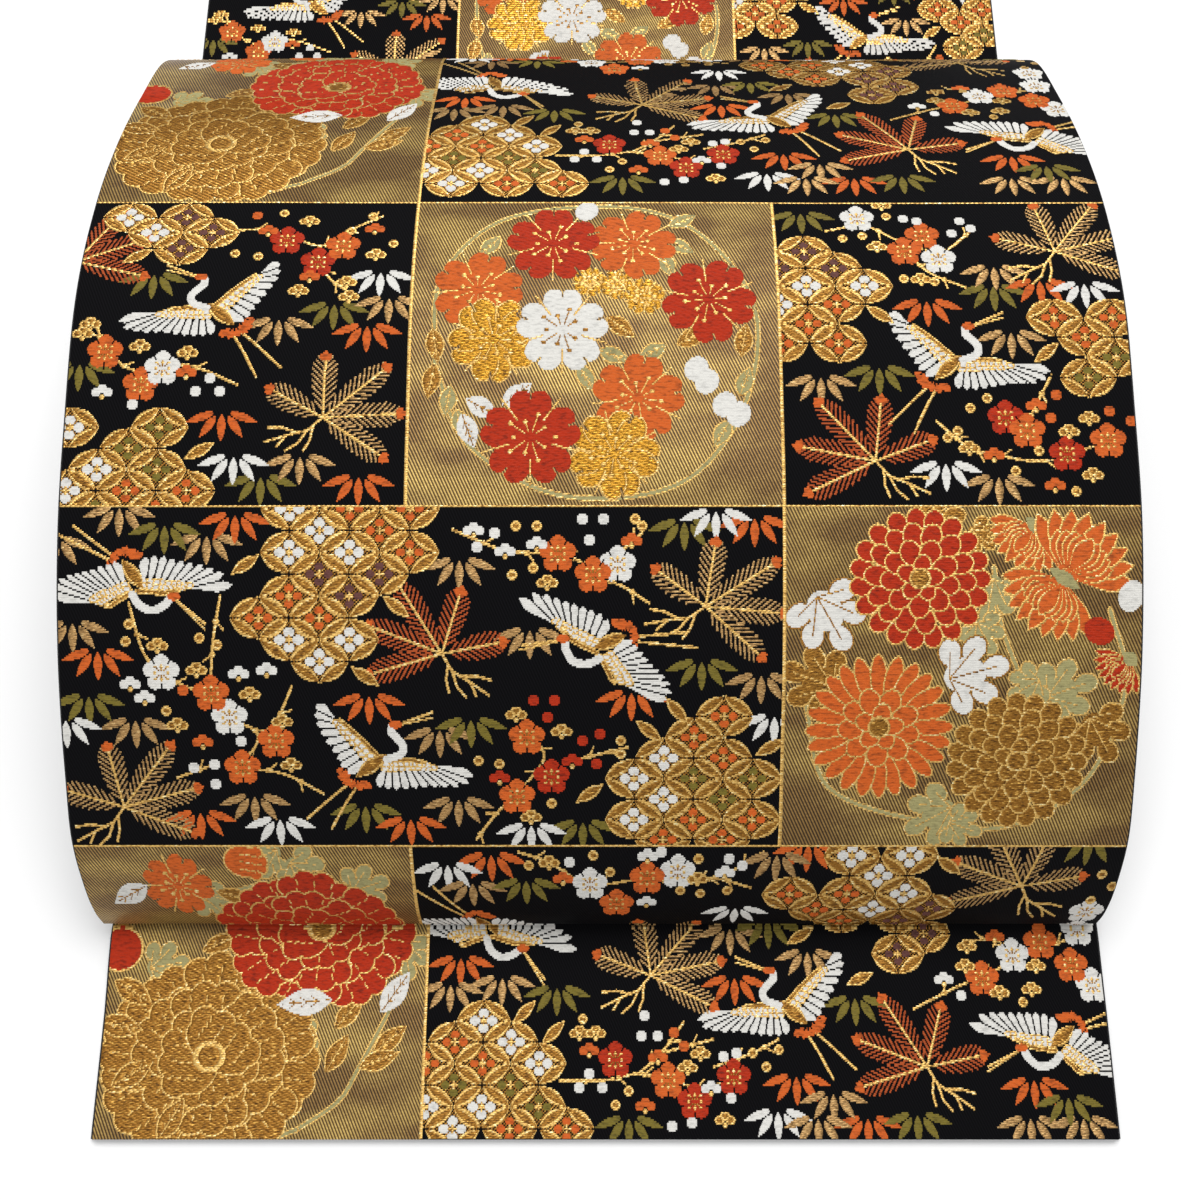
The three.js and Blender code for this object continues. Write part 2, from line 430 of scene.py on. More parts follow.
def peony(chart, u, v, thread, width, height):
    """Three rounds of broad petals, the back ones first, round a gold heart."""
    for reach, count, along, across, offset in PEONY_ROUNDS:
        for k in range(count):
            degrees = offset + 360 / count * k + 7 * math.sin(3.1 * k)
            x, y = polar(0.37 * reach, degrees)
            radii = (along * width * (0.95 + 0.12 * math.sin(2.3 * k)), across * height)
            petal(chart, u + x * width, v + y * height, thread, radii, degrees)
    chart.oval(BRIGHT, (u, v), (0.09 * width, 0.1 * height))
    chart.oval(GOLD, (u, v), (0.06 * width, 0.07 * height))


def mum(chart, u, v, thread, radius, rings=((0.87, 19), (0.66, 14), (0.43, 9), (0.2, 5))):
    """A round chrysanthemum: rings of corded petals, from the rim to the heart."""
    inner_rings = [reach for reach, _ in rings[1:]] + [0.0]
    for (reach, count), inner in zip(rings, inner_rings):
        half = 0.5 * (reach - inner) + 0.06
        for k in range(count):
            degrees = 360 / count * (k + 0.37 * count % 1 + 0.08 * math.sin(5 * k))
            x, y = polar((reach + 0.13 - half) * radius, degrees)
            wide = math.pi * reach * radius / count
            chart.oval(BRIGHT, (u + x, v + y), (half * radius + 0.45, wide + 0.2), degrees)
            chart.oval(thread, (u + x, v + y), (half * radius - 0.1, wide - 0.3), degrees)
    chart.oval(BRIGHT, (u, v), (0.16 * radius, 0.16 * radius))
    chart.oval(GOLD, (u, v), (0.12 * radius, 0.12 * radius))


def half_mum(chart, root, middle, thread):
    """A chrysanthemum seen from the side: a fan of petals opening from a green cup at its root."""
    du, dv = middle[0] - root[0], middle[1] - root[1]
    length, heading = 1.5 * math.hypot(du, dv), math.degrees(math.atan2(dv, du))
    for reach, spread in ((1.0, 58), (0.7, 44)):
        for k in (-4, 4, -3, 3, -2, 2, -1, 1, 0):
            x, y = polar(reach * length, heading + spread * k / 4)
            tip = (root[0] + x, root[1] + y)
            chart.blade(BRIGHT, root, tip, 0.3 * length, 0.66)
            chart.blade(thread, root, (tip[0] - 0.04 * x, tip[1] - 0.04 * y), 0.3 * length - 1.2, 0.66)
    x, y = polar(0.26 * length, heading + 90)
    chart.blade(PALE, (root[0] - x, root[1] - y), (root[0] + x, root[1] + y), 4.0)


def leaf(chart, u, v, degrees, length, thread, width):
    """A pointed leaf with a vein, edged where it isn't white."""
    x, y = polar(length / 2, degrees)
    vein = GOLD if thread == WHITE else BRIGHT
    if thread != WHITE:
        chart.blade(BRIGHT, (u - 1.1 * x, v - 1.1 * y), (u + 1.1 * x, v + 1.1 * y), width + 1.2, 0.45)
    chart.blade(thread, (u - x, v - y), (u + x, v + y), width, 0.45)
    for share in (-0.5, -0.1, 0.3):
        for side in (-35, 35):
            du, dv = polar(0.32 * width, degrees + side)
            start = (u + share * x, v + share * y)
            chart.stroke(vein, [start, (start[0] + du, start[1] + dv)], 0.3)
    chart.stroke(vein, [(u - 0.9 * x, v - 0.9 * y), (u + 0.8 * x, v + 0.8 * y)], 0.35)


LOBES = [(-75, 0.4), (75, 0.4), (-36, 0.58), (36, 0.58), (0, 0.72)]  # angle, reach as a share of the leaf


def lobed(chart, u, v, degrees, size, thread=PALE):
    """A leaf of five round-ended lobes, as a chrysanthemum's, opening the way of the angle."""
    vein = GOLD if thread == WHITE else BRIGHT
    root = polar(-0.35 * size, degrees)
    lobes = [polar(reach * size, degrees + lean) for lean, reach in LOBES]
    for cord, extra in ((vein, 0.5), (thread, 0.0)):
        for x, y in lobes:
            middle = (u + root[0] + x, v + root[1] + y)
            heading = math.degrees(math.atan2(y, x))
            chart.oval(cord, middle, (0.2 * size + extra, 0.16 * size + extra), heading)
        chart.oval(cord, (u + 0.3 * root[0], v + 0.3 * root[1]), (0.32 * size, 0.26 * size), degrees)
    for x, y in lobes:
        start = (u + root[0], v + root[1])
        chart.stroke(vein, [start, (start[0] + x, start[1] + y)], 0.4)


def stem(chart, *points):
    line = curve(points, 8)
    chart.stroke(BRIGHT, line, 1.7)
    chart.stroke(PALE, line, 0.9)


# ---- the three rows ----

def scatter(chart, draw, places):
    """Draws a small motif at each (u, v), listed by the colour of its thread."""
    for thread, found in places.items():
        for u, v in found:
            draw(chart, u, v, thread)


def border(chart, *edges):
    """Cords down the sides of the row's gold panel and along the row's top."""
    half = WIDTH / 2
    chart.sides = (-half, half)
    for edge in edges:
        chart.stroke(BRIGHT, [(edge, 0), (edge, ROW)], 1.0)
    chart.stroke(BRIGHT, [(-half, 0.2), (half, 0.2)], 0.7)


def row_a():
    chart = Chart()
    for twig in (
        [(-24, 2), (-15, 5), (-3, 12), (14, 10), (24, 12), (38, 8), (48, 2)], [(24, 12), (34, 10), (45, 13)],
        [(95, 57), (110, 50), (117, 48), (128, 42), (145, 36)], [(127, 41), (122, 36), (112, 37)],
        [(145, 44), (150, 50)], [(-14, 78), (-1, 78), (10, 76), (19, 78), (30, 80), (39, 77)],
        [(10, 76), (17, 70), (24, 61)], [(17, 70), (33, 66)], [(33, 74), (45, 70), (53, 66)],
    ):
        branch(chart, *twig)
    scatter(chart, bamboo, {
        ORANGE: [(-32, 5), (61, 2), (-45, 44), (40, 50), (58, 79), (79, 91), (130, 80)],
        WHITE: [(-45, 8), (41, 23), (52, 89)],
        PALE_GOLD: [(-38, 14), (52, 5), (-48, 52), (-32, 50), (39, 35), (63, 42), (69, 84),
                    (64, 91), (128, 91), (144, 91)],
        OLIVE: [(-22, 13), (-15, 53), (51, 33), (143, 0), (77, 56), (94, 90), (140, 85), (7, 91)],
    })
    scatter(chart, plum, {
        WHITE: [(-3, 12), (23, 8), (127, 41), (148, 33), (151, 50), (148, 23)],
        ORANGE: [(5, 19), (14, 10), (19, 78), (136, 37), (145, 44), (117, 48)],
        RED: [(3, 72), (39, 77), (27, 84)],
    })
    scatter(chart, sprig, {
        ORANGE: [(-11, 10), (-5, 69), (16, 71), (12, 85), (122, 35)],
        GOLD: [(-15, 5), (29, 10), (-8, 64), (-3, 64), (29, 70), (25, 74), (36, 89), (113, 38), (112, 44),
               (122, 52), (134, 44), (132, 51)],
        WHITE: [(14, 3), (14, 18), (37, 8), (32, 80), (105, 48)],
    })
    scatter(chart, bud, {
        GOLD: [(-21, 6), (-2, 3), (3, 8), (29, 4), (24, 14), (30, 15), (38, 14), (-7, 60), (45, 70),
               (53, 69), (49, 74), (7, 81), (3, 85), (129, 55), (149, 9), (148, 18), (153, 13)],
        WHITE: [(-9, 5), (18, 2), (38, 4), (42, 6), (11, 65), (12, 59), (16, 65), (38, 83), (36, 71),
                (40, 70), (-5, 76), (-8, 80), (-1, 80), (20, 91), (26, 90), (110, 53)],
        ORANGE: [(21, 64), (24, 68)],
    })
    crane(chart, -36, 35, GLIDING, 12)
    crane(chart, 55, 56, RISING, 2, mirror=True)
    crane(chart, 138, 69.5, GLIDING, 14, mirror=True)
    frond(chart, 14, 47, PALE_GOLD, -8)
    frond(chart, 126, 13, PALE_GOLD, 18, mirror=True)
    frond(chart, 98, 74, RUST, 18, mirror=True)
    shippo(chart, -37.5, 60.5, {
        WHITE: [(0, 0), (1, 1), (2, 2), (-2, 4), (0, 4), (-1, 5)],
        ORANGE: [(-1, 1), (0, 2), (-2, 2), (1, 5), (3, 5)],
        OLIVE: [(-1, 3), (1, 3), (2, 4)],
    })
    shippo(chart, 74, 3, {
        WHITE: [(0, 0), (2, 0), (1, 1), (2, 2), (1, 3)],
        ORANGE: [(-2, 2), (0, 2), (-1, 3), (0, 4)],
        MAUVE: [(3, 3), (2, 4), (3, 5), (2, 6)],
    })
    for u, v, degrees in ((-25, 58, -45), (-16, 64, -45), (103, 6, 35), (61, 35, -30), (79, 48, -25)):
        almond(chart, u, v, degrees)

    chart.open_panel(-WIDTH / 2, LEFT_COLUMN)
    stem(chart, (-62, 48), (-75, 74), (-81, 84), (-93, 92))
    stem(chart, (-152, 60), (-140, 84), (-112, 97), (-93, 92))
    stem(chart, (-124, 22), (-104, 13), (-84, 15), (-70, 24))
    for u, v, degrees in ((-99, 3, 160), (-88, 8, 40), (-70, 13, -20), (-118, 19, 60), (-137, 44, -10),
                          (-118, 48, 20), (-95, 67, 70), (-62, 41, 80)):
        lobed(chart, u, v, degrees, 13)
    for u, v, degrees in ((-109, 17, 20), (-120, 37, -25), (-79, 58, -50), (-82, 70, -60), (-66, 66, -40),
                          (-69, 72, -20)):
        leaf(chart, u, v, degrees, 12, GOLD, 5)
    peony(chart, -121, 71, GOLD, 56, 46)
    for u, v, degrees in ((-146, 52, 30), (-149, 62, 10), (-144, 76, -30), (-131, 89, -60)):
        leaf(chart, u, v, degrees, 13, GOLD, 6)
    cherry(chart, -126, 13, ORANGE, 10.5, 20)
    petal(chart, -105, 5, ORANGE, (5.5, 4.5), 10)
    leaf(chart, -141, 16, 150, 13, WHITE, 7)
    peony(chart, -89, 33, RED, 50, 36)
    chart.oval(BRIGHT, (-151, 39), (7, 7))
    chart.oval(RED, (-151, 39), (6.3, 6.3))
    leaf(chart, -93, 55, 175, 17, WHITE, 8)
    leaf(chart, -65, 52, -55, 15, WHITE, 7)
    border(chart, LEFT_COLUMN)
    return chart


def row_b():
    chart = Chart()
    for twig in (
        [(-110, 12), (-98, 12), (-84, 18), (-76, 12), (-66, 6)], [(-84, 24), (-80, 30), (-75, 34)],
        [(-144, 54), (-134, 60), (-120, 58), (-105, 64)], [(-144, 54), (-147, 46)],
        [(68, 12), (80, 10), (90, 16), (102, 20), (112, 12)], [(91, 20), (98, 28), (108, 33)],
        [(97, 75), (106, 83), (113, 85), (128, 87), (146, 81)], [(131, 61), (126, 70), (122, 78)],
    ):
        branch(chart, *twig)
    scatter(chart, bamboo, {
        OLIVE: [(-78, 41), (-132, 31), (-151, 60), (-97, 94), (61, 7), (116, 35), (81, 61)],
        PALE_GOLD: [(-62, 39), (-94, 46), (-86, 88), (117, 28), (120, 50), (64, 64), (114, 94)],
        ORANGE: [(-68, 48), (-109, 75), (-69, 94), (130, 33), (96, 40)],
        WHITE: [(-65, 30), (-105, 88), (143, 34), (99, 90)],
    })
    scatter(chart, plum, {
        RED: [(-94, 16), (-84, 24), (117, 74), (134, 85)],
        ORANGE: [(-77, 18), (-144, 54), (-133, 64), (97, 14), (91, 20), (123, 78), (146, 81)],
        WHITE: [(-127, 59), (78, 7), (101, 23)],
    })
    scatter(chart, sprig, {
        ORANGE: [(-100, 12), (-86, 29), (-68, 11), (-120, 60), (126, 70), (113, 85), (130, 94)],
        GOLD: [(-88, 8), (-67, 21), (-89, 34), (-75, 31), (-74, 36), (-151, 48), (-149, 45), (-134, 52),
               (-120, 54), (86, 1), (83, 18), (95, 30), (106, 83), (135, 78), (141, 74), (141, 91)],
        WHITE: [(-144, 66)],
    })
    scatter(chart, bud, {
        ORANGE: [(-104, 6), (132, 67), (130, 74), (147, 72), (153, 75)],
        GOLD: [(-96, 5), (-69, 6), (-75, 12), (-62, 17), (-109, 21), (-102, 22), (87, 6), (73, 15), (79, 14),
               (90, 30), (99, 31), (112, 68), (107, 71), (103, 78), (100, 80), (119, 90), (126, 84),
               (136, 96)],
        WHITE: [(-113, 62), (-117, 66), (-110, 66), (-135, 70), (92, 7), (96, 8), (109, 8), (106, 13),
                (112, 11)],
    })
    crane(chart, -114, 40, RISING, 2, mirror=True)
    crane(chart, 104, 56.5, RISING, -4)
    frond(chart, -156, 24, RUST, -20)
    frond(chart, -80, 74, PALE_GOLD)
    frond(chart, 136, 20, PALE_GOLD, -12)
    frond(chart, 79, 87, RUST, 8, mirror=True)
    shippo(chart, -134, 13, {WHITE: [(-1, -1), (0, 0)], MAUVE: [(1, -1), (2, 0), (1, 1)]})
    shippo(chart, -144, 77, {
        WHITE: [(-1, 0), (0, 2), (-1, 3)], OLIVE: [(2, 0), (1, 1), (2, 2), (0, 4)],
        ORANGE: [(1, 3), (3, 3), (2, 4)],
    })
    shippo(chart, 61, 20, {
        MAUVE: [(0, 0), (1, 1), (-1, 1)], WHITE: [(0, 2), (2, 2), (-1, 3)],
        ORANGE: [(1, 3), (0, 4), (1, 5), (-1, 5)],
    })
    shippo(chart, 133, 43, {ORANGE: [(0, 0), (2, 0), (1, 1)], OLIVE: [(2, 2), (1, 3)]})
    for u, v, degrees in ((-138, 22, -30), (-115, 84, -30), (82, 42, 35), (130, 54, -40)):
        almond(chart, u, v, degrees)

    chart.open_panel(LEFT_COLUMN, RIGHT_COLUMN)
    stem(chart, (-48, 58), (-47, 30), (-30, 8), (0, 2), (24, 8), (42, 30), (46, 52), (38, 78), (20, 95),
         (-12, 97), (-38, 82), (-48, 58))
    for u, v, degrees in ((-33, 18, 130), (25, 8, -30), (24, 18, 30), (20, 25, 70), (4, 55, 20),
                          (15, 54, 150), (-4, 62, 60), (-44, 69, 100), (-40, 76, 70),
                          (42, 63, -70), (35, 79, 120)):
        leaf(chart, u, v, degrees, 9, PALE, 4.4)
    for u, v, degrees in ((6, 46, 40), (-48, 52, 80), (-49, 63, 100), (27, 49, -30), (42, 50, -80)):
        leaf(chart, u, v, degrees, 10, GOLD, 4.6)
    for u, v, degrees in ((-34, 71, 30), (-24, 67, -40), (-38, 78, 70)):
        leaf(chart, u, v, degrees, 11, WHITE, 6)
    for u, v, thread, radius, turn in (
        (-3, 31, FOIL, 5, 10), (5, 32, FOIL, 5, 30), (13, 36, FOIL, 6, 0), (10, 17, ORANGE, 13, 20),
        (-14, 17, RED, 14, 0), (-36, 34, ORANGE, 13.5, 15), (-31, 50, FOIL, 13, 40),
        (-11, 47, WHITE, 13.5, 0), (32, 37, RED, 14, 30), (11, 68, ORANGE, 13.5, 10), (4, 85, FOIL, 13, 25),
        (-20, 80, RED, 14.5, 0),
    ):
        cherry(chart, u, v, thread, radius, turn)
    for u, v in ((28, 59), (31, 63), (36, 70), (40, 73), (-4, 4)):
        chart.oval(WHITE, (u, v), (3.4, 4.0), 30)
    border(chart, LEFT_COLUMN, RIGHT_COLUMN)
    return chart


def row_c():
    chart = Chart()
    for twig in (
        [(-134, 28), (-130, 42), (-125, 48)], [(-108, 26), (-110, 38), (-111, 50)],
        [(-93, 68), (-93, 64), (-88, 52)], [(-103, 76), (-91, 78), (-80, 84)], [(-122, 79), (-111, 75)],
        [(-125, 48), (-118, 52), (-111, 54), (-106, 61), (-98, 66), (-103, 76)],
        [(-42, 7), (-27, 13), (-12, 14), (0, 17), (12, 8)], [(-2, 20), (6, 23), (14, 28)],
        [(-8, 74), (0, 72), (8, 70)], [(-21, 67), (-16, 73), (-24, 84), (-30, 90), (-36, 98)],
    ):
        branch(chart, *twig)
    scatter(chart, bamboo, {
        PALE_GOLD: [(-137, 3), (-112, 11), (-155, 12), (-150, 36), (-133, 64), (-100, 87), (-41, 88),
                    (-46, 67), (-40, 18), (-20, 38), (46, 51)],
        OLIVE: [(-124, 8), (-146, 57), (-68, 90), (-37, 64), (-5, 95), (24, 7), (29, 47)],
        ORANGE: [(-104, 5), (-143, 44), (-116, 92), (-66, 57), (-55, 94), (44, 6), (9, 56)],
        WHITE: [(-153, 64), (-93, 94), (-20, 96), (33, 4), (50, 63)],
    })
    scatter(chart, plum, {
        WHITE: [(-125, 48), (-106, 61), (5, 17)],
        ORANGE: [(-111, 54), (-93, 68), (-103, 76), (-12, 14), (-2, 20), (-21, 67), (-24, 85)],
        RED: [(-14, 79)],
    })
    scatter(chart, sprig, {
        WHITE: [(-134, 51), (-130, 55), (-103, 48), (-95, 47), (-36, 7), (-27, 13), (-18, 11)],
        GOLD: [(-115, 47), (-126, 40), (-100, 54), (-121, 63), (-91, 62), (-89, 75), (-15, 22), (-24, 60),
               (-11, 65), (-20, 91)],
        ORANGE: [(-114, 68), (9, 10)],
        RED: [(-8, 74), (-29, 79)],
    })
    scatter(chart, bud, {
        GOLD: [(-134, 34), (-135, 39), (-114, 38), (-109, 40), (-124, 59), (-24, 6), (-18, 6), (-19, 18),
               (-25, 20), (10, 4), (12, 6), (-35, 74), (-29, 75), (6, 68), (6, 72), (-14, 87)],
        WHITE: [(-103, 68), (-117, 76), (-111, 75), (-111, 81), (-30, 8), (-35, 12),
                (-5, 4), (1, 4), (-3, 10)],
        ORANGE: [(-119, 53)],
        RED: [(-19, 56), (-13, 56), (-15, 61), (-1, 75), (-5, 68), (0, 66)],
    })
    crane(chart, -132, 24.5, GLIDING)
    crane(chart, -63, 73.5, RISING)
    crane(chart, -0.5, 42.5, GLIDING, 32, mirror=True)
    frond(chart, -138, 88, PALE_GOLD, -12)
    frond(chart, -45, 42.5, RUST, 18, mirror=True)
    frond(chart, 30, 29, PALE_GOLD, 8)
    shippo(chart, -88.5, 1, {
        WHITE: [(0, 0), (1, 1), (0, 2), (2, 2), (0, 6), (2, 6), (1, 7)],
        ORANGE: [(2, 0), (4, 0), (3, 1), (4, 2), (0, 4), (-1, 5), (1, 5)],
        MAUVE: [(1, 3), (3, 3), (2, 4)],
    })
    shippo(chart, 27, 67, {
        ORANGE: [(1, -1), (0, 0), (1, 1), (0, 4), (2, 4), (-1, 5), (1, 5)],
        WHITE: [(-1, 1), (-2, 2), (-1, 3), (-2, 4)],
        OLIVE: [(0, 2), (2, 2), (1, 3)],
    })
    for u, v, degrees in ((-101, 17, -35), (-58, 29, 40), (-67, 49, 35), (22, 59, 50), (14, 65, 40),
                          (-3, 84, -35), (49, 70, -30)):
        almond(chart, u, v, degrees)

    chart.open_panel(RIGHT_COLUMN, WIDTH / 2)
    stem(chart, (59, 58), (66, 82), (92, 92), (118, 94), (140, 80), (150, 52), (145, 30))
    stem(chart, (112, 18), (114, 34), (121, 52))
    for u, v, degrees, size in ((111, 26, 100, 14), (109, 37, 60, 11), (133, 53, -20, 16),
                                (122, 52, 150, 11), (97, 91, 150, 16), (105, 94, 20, 11)):
        lobed(chart, u, v, degrees, size)
    for u, v, degrees, size in ((96, 4, -10, 14), (108, 9, 40, 9), (61, 50, 200, 17), (143, 66, 60, 16)):
        lobed(chart, u, v, degrees, size, GOLD)
    lobed(chart, 65, 32, 60, 19, WHITE)
    lobed(chart, 106, 48, -15, 19, WHITE)
    for root, middle, thread in (
        ((124, 6), (118, 13), ORANGE), ((132, 21), (125, 31), ORANGE), ((132, 21), (140, 10), ORANGE),
        ((151, 44), (146, 49), RED),
    ):
        half_mum(chart, root, middle, thread)
    chart.oval(RED, (142, 36), (4.5, 3.8), 30)
    chart.oval(WHITE, (151, 26), (3.6, 4.6), 20)
    mum(chart, 91, 21, RED, 20)
    mum(chart, 80, 64, ORANGE, 21, ((0.87, 24), (0.42, 9), (0.2, 5)))
    mum(chart, 120, 74, GOLD, 20)
    border(chart, RIGHT_COLUMN)
    return chart


# ---- how the cloth lies ----

FACE_WIDTH, BACK_WIDTH = 308.0, 310.0
FACE_INNER, FACE_OUTER = 0.15, 1.25  # heights over the sewn line that joins face and back
BACK_INNER, BACK_OUTER = -0.15, -1.15
SEWN = 1.15  # height of the sewn line where the cloth lies flat
TURN = 2.1  # radius of the sewn line in a fold
UPPER = SEWN + 2 * TURN

TAIL_LENGTH = 66.0
LIP_RADIUS = 2.2
LIP_CENTRE = (66.1, UPPER + LIP_RADIUS)
FOOT_CENTRE = (371.0, UPPER + LIP_RADIUS)
DRUM_LINE = [  # (y, z) over the drum, from its front lip to its rear foot
    (63.9, 7.55), (66.8, 15.7), (72.9, 25.3), (85.3, 38.3), (101.3, 47.5), (132.9, 63.0),
    (168.4, 74.3), (199.8, 79.2), (236.6, 82.4), (272.4, 77.4), (300.6, 68.3), (329.5, 54.7),
    (356.2, 39.0), (368.6, 23.0), (373.2, 7.55),
]
TUCK_END = 337.0
STRIP_END = 452.0

LAYERS = 13
LAYER_PITCH = 2.8
LAYER_TURN = 2.6  # outside radius of a fold in the stack
NEAR_FOLDS = [0.0, 2.5, 0.8, 3.4, 1.6, 2.9, 0.9]
FAR_FOLDS = [1.2, 0.0, 2.6, 0.7, 3.1, 1.4, 2.2]


def arc(centre, radius, start, sweep, steps=10):
    """Points round part of a circle, angles in degrees from the y axis."""
    angles = np.radians(np.linspace(start, start + sweep, steps + 1))
    return np.column_stack([centre[0] + radius * np.cos(angles), centre[1] + radius * np.sin(angles)])


def smooth_line(points, steps=12):
    """A centripetal Catmull-Rom curve through the points."""
    points = np.array(points, float)
    ends = np.vstack([2 * points[0] - points[1], points, 2 * points[-1] - points[-2]])
    line = []
    for p0, p1, p2, p3 in zip(ends, ends[1:], ends[2:], ends[3:]):
        t0 = 0.0
        t1 = t0 + math.sqrt(np.linalg.norm(p1 - p0))
        t2 = t1 + math.sqrt(np.linalg.norm(p2 - p1))
        t3 = t2 + math.sqrt(np.linalg.norm(p3 - p2))
        for t in np.linspace(t1, t2, steps, endpoint=False):
            a1 = ((t1 - t) * p0 + (t - t0) * p1) / (t1 - t0)
            a2 = ((t2 - t) * p1 + (t - t1) * p2) / (t2 - t1)
            a3 = ((t3 - t) * p2 + (t - t2) * p3) / (t3 - t2)
            b1 = ((t2 - t) * a1 + (t - t0) * a2) / (t2 - t0)
            b2 = ((t3 - t) * a2 + (t - t1) * a3) / (t3 - t1)
            line.append(((t2 - t) * b1 + (t - t1) * b2) / (t2 - t1))
    return np.vstack([line, points[-1]])


def stack_line():
    """The sewn line back and forth through the folded stack."""
    radius = LAYER_PITCH / 2
    parts = [[(STACK_NEAR, SEWN)]]
    for layer in range(LAYERS - 1):
        height = SEWN + layer * LAYER_PITCH + radius
        if layer % 2 == 0:
            centre = STACK_FAR - FAR_FOLDS[layer // 2] - LAYER_TURN
            parts.append(arc((centre, height), radius, -90, 180))
        else:
            centre = STACK_NEAR + NEAR_FOLDS[layer // 2] + LAYER_TURN
            parts.append(arc((centre, height), radius, 270, -180))
    parts.append([(STACK_FAR - FAR_FOLDS[-1], SEWN + (LAYERS - 1) * LAYER_PITCH)])
    return np.vstack(parts)


def lengths(points):
    return np.concatenate([[0], np.cumsum(np.linalg.norm(np.diff(points, axis=0), axis=1))])


PARTS = {
    "tail": [[(0, SEWN), (TAIL_LENGTH, SEWN)],
             arc((TAIL_LENGTH, SEWN + TURN), TURN, -90, 180)],
    "drum": [[(TAIL_LENGTH, UPPER)],
             arc(LIP_CENTRE, LIP_RADIUS, 270, -90),
             smooth_line(DRUM_LINE),
             arc(FOOT_CENTRE, LIP_RADIUS, 0, -90),
             [(TUCK_END, UPPER)]],
    "strip": [arc((TUCK_END, SEWN + TURN), TURN, 90, 180),
              [(STRIP_END, SEWN)]],
    "stack": [stack_line()],
}


class Lie:
    """The sewn line of the whole sash, by distance from the tail's end."""

    def __init__(self):
        line = np.vstack([np.vstack(part) for part in PARTS.values()])
        apart = np.concatenate([[True], np.linalg.norm(np.diff(line, axis=0), axis=1) > 1e-4])
        line = line[apart]
        self.along = lengths(line)
        self.line = line
        middle = np.diff(line, axis=0)
        middle /= np.linalg.norm(middle, axis=1)[:, None]
        heading = np.vstack([middle[:1], middle[:-1] + middle[1:], middle[-1:]])
        self.heading = heading / np.linalg.norm(heading, axis=1)[:, None]
        self.starts, reached = {}, 0.0
        for name, part in PARTS.items():
            points = np.vstack(part)
            if name == "stack":
                reached += np.linalg.norm(points[0] - np.vstack(PARTS["strip"])[-1])
            self.starts[name] = reached
            reached += lengths(points)[-1]
        self.total = reached

    def at(self, along):
        """Where the line is and which way the face looks, at each distance."""
        y, z = (np.interp(along, self.along, self.line[:, k]) for k in (0, 1))
        dy, dz = (np.interp(along, self.along, self.heading[:, k]) for k in (0, 1))
        size = np.hypot(dy, dz)
        return y, z, -dz / size, dy / size


lie = Lie()


# Soft troughs (negative) and ridges in the face, each from one place to another: (u, along) at both
# ends, how far it reaches to either side and how high it stands.
CREASES = [
    ((-150, 58), (-128, 61), 7, 0.9),
    ((-60, 52), (20, 57), 9, 0.35),
    ((60, 40), (118, 33), 12, 0.3),
    ((-120, 20), (-40, 27), 14, 0.3),
    ((120, 12), (150, 30), 10, 0.35),
    ((-154, 96), (-90, 88), 9, -0.45),
    ((-30, 90), (60, 94), 10, 0.35),
    ((95, 86), (150, 98), 9, -0.4),
    ((-150, 142), (-95, 150), 16, 0.4),
    ((-20, 130), (70, 138), 18, -0.35),
    ((100, 150), (152, 136), 15, 0.45),
    ((-140, 205), (-60, 196), 18, -0.4),
    ((-10, 232), (48, 222), 14, 0.55),
    ((20, 254), (50, 268), 10, -0.45),
    ((-50, 262), (-20, 278), 12, 0.35),
    ((90, 240), (150, 252), 17, -0.4),
    ((-150, 290), (-100, 300), 16, 0.4),
    ((60, 318), (140, 326), 16, -0.4),
    ((-90, 345), (10, 338), 18, 0.4),
    ((-140, 372), (-60, 380), 14, -0.45),
    ((40, 366), (120, 384), 15, 0.4),
    ((-120, 412), (-30, 404), 14, 0.45),
    ((10, 424), (90, 416), 13, -0.4),
    ((-100, 548), (-10, 556), 12, 0.3),
    ((50, 572), (140, 562), 13, 0.25),
    ((-150, 4020), (-60, 4040), 20, 0.9),
    ((20, 4085), (130, 4060), 22, 0.8),
    ((-100, 4150), (10, 4170), 24, 1.0),
    ((60, 4195), (150, 4212), 20, 0.7),
    ((-140, 4228), (-70, 4215), 17, 0.6),
]
TAIL_SHIFT = 1.7  # the tail lies a little to the right of the drum
EDGE_CURL = 1.3  # and its left edge lifts towards the lip


def ease(value):
    value = np.clip(value, 0, 1)
    return value * value * (3 - 2 * value)


def sway(u, along):
    """How far the cloth lies to the side, and over the even line, at each place."""
    lift = np.zeros(np.broadcast(u, along).shape)
    for (u0, a0), (u1, a1), reach, height in CREASES:
        du, da = u1 - u0, a1 - a0
        t = np.clip(((u - u0) * du + (along - a0) * da) / (du * du + da * da), 0, 1)
        apart = np.hypot(u - u0 - t * du, along - a0 - t * da) / reach
        fade = 0.35 + 0.65 * np.sin(np.pi * np.clip(0.15 + 0.7 * t, 0, 1))
        lift += height * fade * np.exp(-apart * apart)
    curl = ease((-u - 138) / 17) * ease((along - 34) / 22) * ease((66 - along) / 4)
    lift += EDGE_CURL * curl
    return TAIL_SHIFT * ease((74 - along) / 10), lift


def on_cloth(u, along, height):
    """Points over the sewn line by height, in metres in the shared frame."""
    u, along = np.broadcast_arrays(np.asarray(u, float), np.asarray(along, float))
    y, z, ny, nz = lie.at(along)
    side, lift = sway(u, along)
    out = height + lift
    return np.stack([u + side, y + ny * out + TAIL_END, z + nz * out], axis=-1) * MM


# ---- the pattern on the cloth ----

